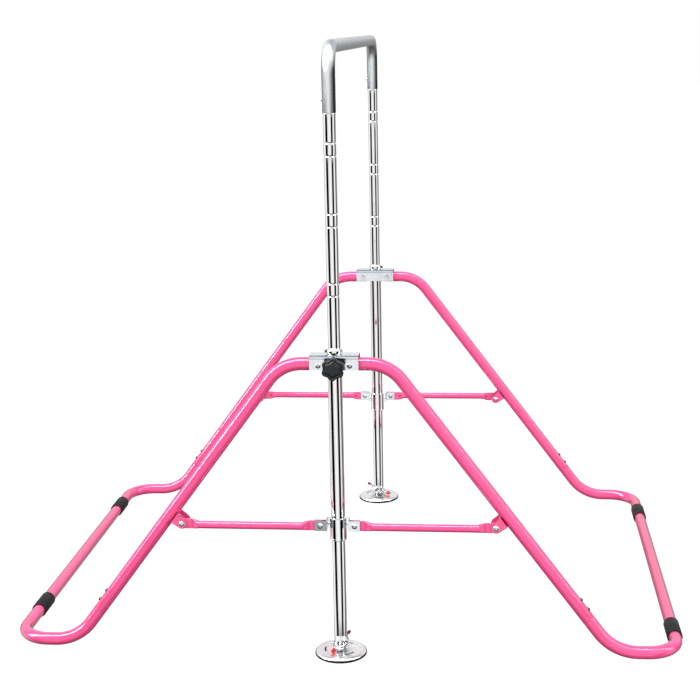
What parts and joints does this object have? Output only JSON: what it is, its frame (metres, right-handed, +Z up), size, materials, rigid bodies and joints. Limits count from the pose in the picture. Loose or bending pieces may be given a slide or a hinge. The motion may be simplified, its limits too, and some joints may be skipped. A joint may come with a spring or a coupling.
{
  "type": "folding kip bar",
  "caption": "Folding gymnastics bar: a height-adjustable U-shaped bar on chrome posts, held by pink folding legs with floor loops, braces and suction feet.",
  "frame": {"origin": "floor point midway between the two posts, directly under the middle of the bar", "axes": "+X across the legs, +Y along the bar from the front post to the rear post, +Z up"},
  "size_m": [1.703, 1.3296, 1.501],
  "materials": {
    "pink_powder_coat": "glossy hot-pink powder coat",
    "chrome_tube": "mirror chrome plate",
    "satin_bar": "satin brushed steel",
    "zinc_plate": "blue-white zinc plate",
    "bright_steel": "bright pressed steel",
    "zinc_fastener": "zinc-plated fasteners",
    "black_screw": "black oxide",
    "black_plastic": "fine-textured black nylon",
    "black_rubber": "matt black rubber",
    "red_dip": "glossy red dipped vinyl"
  },
  "bodies": {
    "posts": {"lower_tube_front": "chrome_tube", "lower_tube_rear": "chrome_tube", "outer_sleeve_front": "chrome_tube", "outer_sleeve_rear": "chrome_tube", "sleeve_caps": "chrome_tube", "cap_screws": "black_screw", "bracket_front": "zinc_plate", "bracket_rear": "zinc_plate", "pivot_bolts": "zinc_fastener", "tube_end_plugs": "black_plastic", "foot_stems": "zinc_fastener"},
    "bar_frame": {"handle_bar": "satin_bar", "upper_tube_front": "chrome_tube", "upper_tube_rear": "chrome_tube", "handle_screws": "zinc_fastener"},
    "knob_front_turn": {"knob_front": "black_plastic", "knob_stud_front": "zinc_fastener"},
    "knob_rear_turn": {"knob_rear": "black_plastic", "knob_stud_rear": "zinc_fastener"},
    "left_legs": {"leg_tube_front_left": "pink_powder_coat", "leg_tube_rear_left": "pink_powder_coat", "floor_loop_left": "pink_powder_coat", "joint_screws_left": "zinc_fastener", "floor_sleeves_left": "black_rubber", "brace_ears_left": "pink_powder_coat", "ear_rivets_left": "zinc_fastener"},
    "right_legs": {"leg_tube_front_right": "pink_powder_coat", "leg_tube_rear_right": "pink_powder_coat", "floor_loop_right": "pink_powder_coat", "joint_screws_right": "zinc_fastener", "floor_sleeves_right": "black_rubber", "brace_ears_right": "pink_powder_coat", "ear_rivets_right": "zinc_fastener"},
    "collar_front": {"collar_outer_front": "chrome_tube", "collar_inner_front": "chrome_tube", "collar_tabs_front": "zinc_plate", "collar_pins_front": "zinc_fastener"},
    "brace_front_left_arm": {"brace_front_left": "pink_powder_coat", "brace_rivet_front_left": "zinc_fastener"},
    "brace_front_right_arm": {"brace_front_right": "pink_powder_coat", "brace_rivet_front_right": "zinc_fastener"},
    "foot_front": {"foot_dish_front": "bright_steel", "suction_cup_front": "black_rubber", "foot_hub_front": "zinc_plate"},
    "lever_front": {"foot_lever_front": "zinc_fastener", "lever_grips_front": "red_dip"},
    "collar_rear": {"collar_outer_rear": "chrome_tube", "collar_inner_rear": "chrome_tube", "collar_tabs_rear": "zinc_plate", "collar_pins_rear": "zinc_fastener"},
    "brace_rear_left_arm": {"brace_rear_left": "pink_powder_coat", "brace_rivet_rear_left": "zinc_fastener"},
    "brace_rear_right_arm": {"brace_rear_right": "pink_powder_coat", "brace_rivet_rear_right": "zinc_fastener"},
    "foot_rear": {"foot_dish_rear": "bright_steel", "suction_cup_rear": "black_rubber", "foot_hub_rear": "zinc_plate"},
    "lever_rear": {"foot_lever_rear": "zinc_fastener", "lever_grips_rear": "red_dip"}
  },
  "joints": [
    {"name": "bar_height", "type": "slide", "parent": "posts", "child": "bar_frame", "axis": [0, 0, -1], "range_m": [0, 0.4929]},
    {"name": "left_fold", "type": "hinge", "parent": "posts", "child": "left_legs", "pos_m": [-0.038, 0, 0.744], "axis": [0, -1, 0], "range_deg": [0, 36.87]},
    {"name": "right_fold", "type": "hinge", "parent": "posts", "child": "right_legs", "pos_m": [0.038, 0, 0.744], "axis": [0, 1, 0], "range_deg": [0, 36.92]},
    {"name": "collar_front_slide", "type": "slide", "parent": "posts", "child": "collar_front", "axis": [0, 0, 1], "range_m": [0, 0.2149]},
    {"name": "brace_front_left_pivot", "type": "hinge", "parent": "collar_front", "child": "brace_front_left_arm", "pos_m": [-0.042, -0.62, 0.343], "axis": [0, -1, 0], "range_deg": [0, 84.78]},
    {"name": "brace_front_right_pivot", "type": "hinge", "parent": "collar_front", "child": "brace_front_right_arm", "pos_m": [0.042, -0.62, 0.343], "axis": [0, 1, 0], "range_deg": [0, 84.78]},
    {"name": "knob_front_turn", "type": "hinge", "parent": "posts", "child": "knob_front_turn", "pos_m": [0, -0.64, 0.7365], "axis": [0, -1, 0], "continuous": true},
    {"name": "foot_front_swivel", "type": "hinge", "parent": "posts", "child": "foot_front", "pos_m": [0, -0.6, 0.02], "axis": [0, 0, 1], "continuous": true},
    {"name": "lever_front_rock", "type": "hinge", "parent": "foot_front", "child": "lever_front", "pos_m": [0, -0.6, 0.03], "axis": [-0.866, 0.5, 0], "range_deg": [0, 39]},
    {"name": "collar_rear_slide", "type": "slide", "parent": "posts", "child": "collar_rear", "axis": [0, 0, 1], "range_m": [0, 0.2149]},
    {"name": "brace_rear_left_pivot", "type": "hinge", "parent": "collar_rear", "child": "brace_rear_left_arm", "pos_m": [-0.042, 0.62, 0.343], "axis": [0, -1, 0], "range_deg": [0, 84.78]},
    {"name": "brace_rear_right_pivot", "type": "hinge", "parent": "collar_rear", "child": "brace_rear_right_arm", "pos_m": [0.042, 0.62, 0.343], "axis": [0, 1, 0], "range_deg": [0, 84.78]},
    {"name": "knob_rear_turn", "type": "hinge", "parent": "posts", "child": "knob_rear_turn", "pos_m": [0, 0.64, 0.7365], "axis": [0, 1, 0], "continuous": true},
    {"name": "foot_rear_swivel", "type": "hinge", "parent": "posts", "child": "foot_rear", "pos_m": [0, 0.6, 0.02], "axis": [0, 0, 1], "continuous": true},
    {"name": "lever_rear_rock", "type": "hinge", "parent": "foot_rear", "child": "lever_rear", "pos_m": [0, 0.6, 0.03], "axis": [-0.3746, -0.9272, 0], "range_deg": [0, 39]}
  ],
  "couplings": [
    {"joint": "right_fold", "follows": "left_fold", "ratio": 1},
    {"joint": "collar_front_slide", "follows": "left_fold", "m_per_rad": 0.33164},
    {"joint": "brace_front_left_pivot", "follows": "left_fold", "ratio": 2.2913},
    {"joint": "brace_front_right_pivot", "follows": "left_fold", "ratio": 2.2913},
    {"joint": "collar_rear_slide", "follows": "left_fold", "m_per_rad": 0.33164},
    {"joint": "brace_rear_left_pivot", "follows": "left_fold", "ratio": 2.2913},
    {"joint": "brace_rear_right_pivot", "follows": "left_fold", "ratio": 2.2913}
  ]
}
